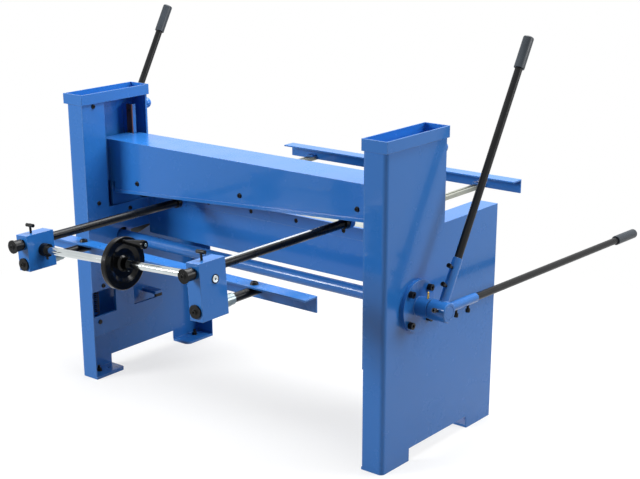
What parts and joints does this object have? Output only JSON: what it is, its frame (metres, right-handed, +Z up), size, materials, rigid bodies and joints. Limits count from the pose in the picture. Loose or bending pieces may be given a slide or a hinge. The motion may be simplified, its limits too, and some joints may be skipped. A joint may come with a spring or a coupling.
{
  "type": "guillotine shear",
  "caption": "Floor-standing manual guillotine shear: lever shaft and cranks draw a raked blade beam past a bed blade; rack back gauge with handwheel and a sliding front stop.",
  "frame": {"origin": "middle of the four floor anchor holes, on the floor", "axes": "+X along the blades, +Y from the gauge side to the operator, +Z up"},
  "size_m": [1.806, 2.1959, 1.4407],
  "materials": {
    "blue": "glossy",
    "blackened": "black oxide",
    "spring_wire": "oiled black",
    "crank_steel": "machined",
    "blade_steel": "ground",
    "table_steel": "milled",
    "brass": "satin",
    "guide_bronze": "satin",
    "rubber": "matt",
    "grip_plastic": "matt",
    "wheel_plastic": "semi-gloss",
    "scale_metal": "satin",
    "zinc": "zinc plated",
    "chrome": "polished"
  },
  "bodies": {
    "frame": {"stand_left": "blue", "stand_right": "blue", "trays": "blue", "guard_left": "blue", "guard_right": "blue", "levelling_screws": "blackened", "dome_knobs": "blue", "frame_screws": "blackened", "bed": "blue", "table_plate": "table_steel", "lower_blade": "blue", "flange_left": "blue", "flange_right": "blue", "flange_bolts": "blackened", "grease_nipples": "brass", "guide_strips": "guide_bronze", "spring_posts": "blackened", "stop_arms": "table_steel", "spring_left": "spring_wire", "spring_right": "spring_wire"},
    "front_stop": {"front_stop_bar": "blue", "front_clamps": "blue"},
    "blade_beam": {"beam": "blue", "upper_blade": "blade_steel", "beam_screws": "blackened", "pull_plate_left": "blue", "pull_plate_right": "blue", "guide_shoes": "blue", "rod_lugs": "blue", "guide_rod_left": "blackened", "guide_rod_right": "blackened", "scale_strip": "scale_metal", "rod_ends": "blackened", "buffers": "rubber", "spring_bolts": "blackened"},
    "lever_shaft": {"torque_shaft": "blue", "crank_left": "crank_steel", "crank_right": "crank_steel", "lever_hub_left": "blue", "lever_hub_right": "blue", "upright_rods": "blackened", "upright_grips": "grip_plastic", "long_rods": "blackened", "long_grips": "grip_plastic", "lever_screws": "blackened"},
    "gauge": {"gauge_block_left": "blue", "gauge_block_right": "blue", "lower_rods": "blackened", "rod_caps": "blackened", "rod_nuts": "zinc", "back_stop_bar": "blue", "stop_bolts": "blackened"},
    "gauge_drive": {"cross_shaft": "chrome", "shaft_collars": "blackened", "handwheel": "wheel_plastic"},
    "wheel_grip": {"wheel_handle": "wheel_plastic"},
    "clamp_left": {"clamp_screw_left": "blackened"},
    "clamp_right": {"clamp_screw_right": "blackened"}
  },
  "joints": [
    {"name": "beam_stroke", "type": "slide", "parent": "frame", "child": "blade_beam", "axis": [0, 0, -1], "range_m": [0, 0.095], "stiffness_N_per_m": 2600, "springref_m": -0.9, "deforming": ["spring_left", "spring_right"]},
    {"name": "lever_swing", "type": "hinge", "parent": "frame", "child": "lever_shaft", "pos_m": [0, -0.164, 0.574], "axis": [-1, 0, 0], "range_deg": [0, 20.01]},
    {"name": "gauge_travel", "type": "slide", "parent": "blade_beam", "child": "gauge", "axis": [0, 1, 0], "range_m": [0, 0.36]},
    {"name": "wheel_turn", "type": "hinge", "parent": "gauge", "child": "gauge_drive", "pos_m": [0.0019, -0.81257, 0.73637], "axis": [0.998, 0, 0.0628], "range_deg": [0, 1145.9]},
    {"name": "grip_spin", "type": "hinge", "parent": "gauge_drive", "child": "wheel_grip", "pos_m": [0.01821, -0.81257, 0.81307], "axis": [0.998, 0, 0.0628], "continuous": true},
    {"name": "clamp_left_turn", "type": "hinge", "parent": "gauge", "child": "clamp_left", "pos_m": [-0.415, -0.83837, 0.74037], "axis": [-0.0628, 0, 0.998], "range_deg": [0, 360]},
    {"name": "clamp_right_turn", "type": "hinge", "parent": "gauge", "child": "clamp_right", "pos_m": [0.415, -0.83837, 0.79263], "axis": [-0.0628, 0, 0.998], "range_deg": [0, 360]},
    {"name": "front_stop_travel", "type": "slide", "parent": "frame", "child": "front_stop", "axis": [0, 1, 0], "range_m": [-0.4, 0.035]}
  ],
  "couplings": [
    {"joint": "lever_swing", "follows": "beam_stroke", "rad_per_m": 3.6743},
    {"joint": "wheel_turn", "follows": "gauge_travel", "rad_per_m": 55.556}
  ]
}
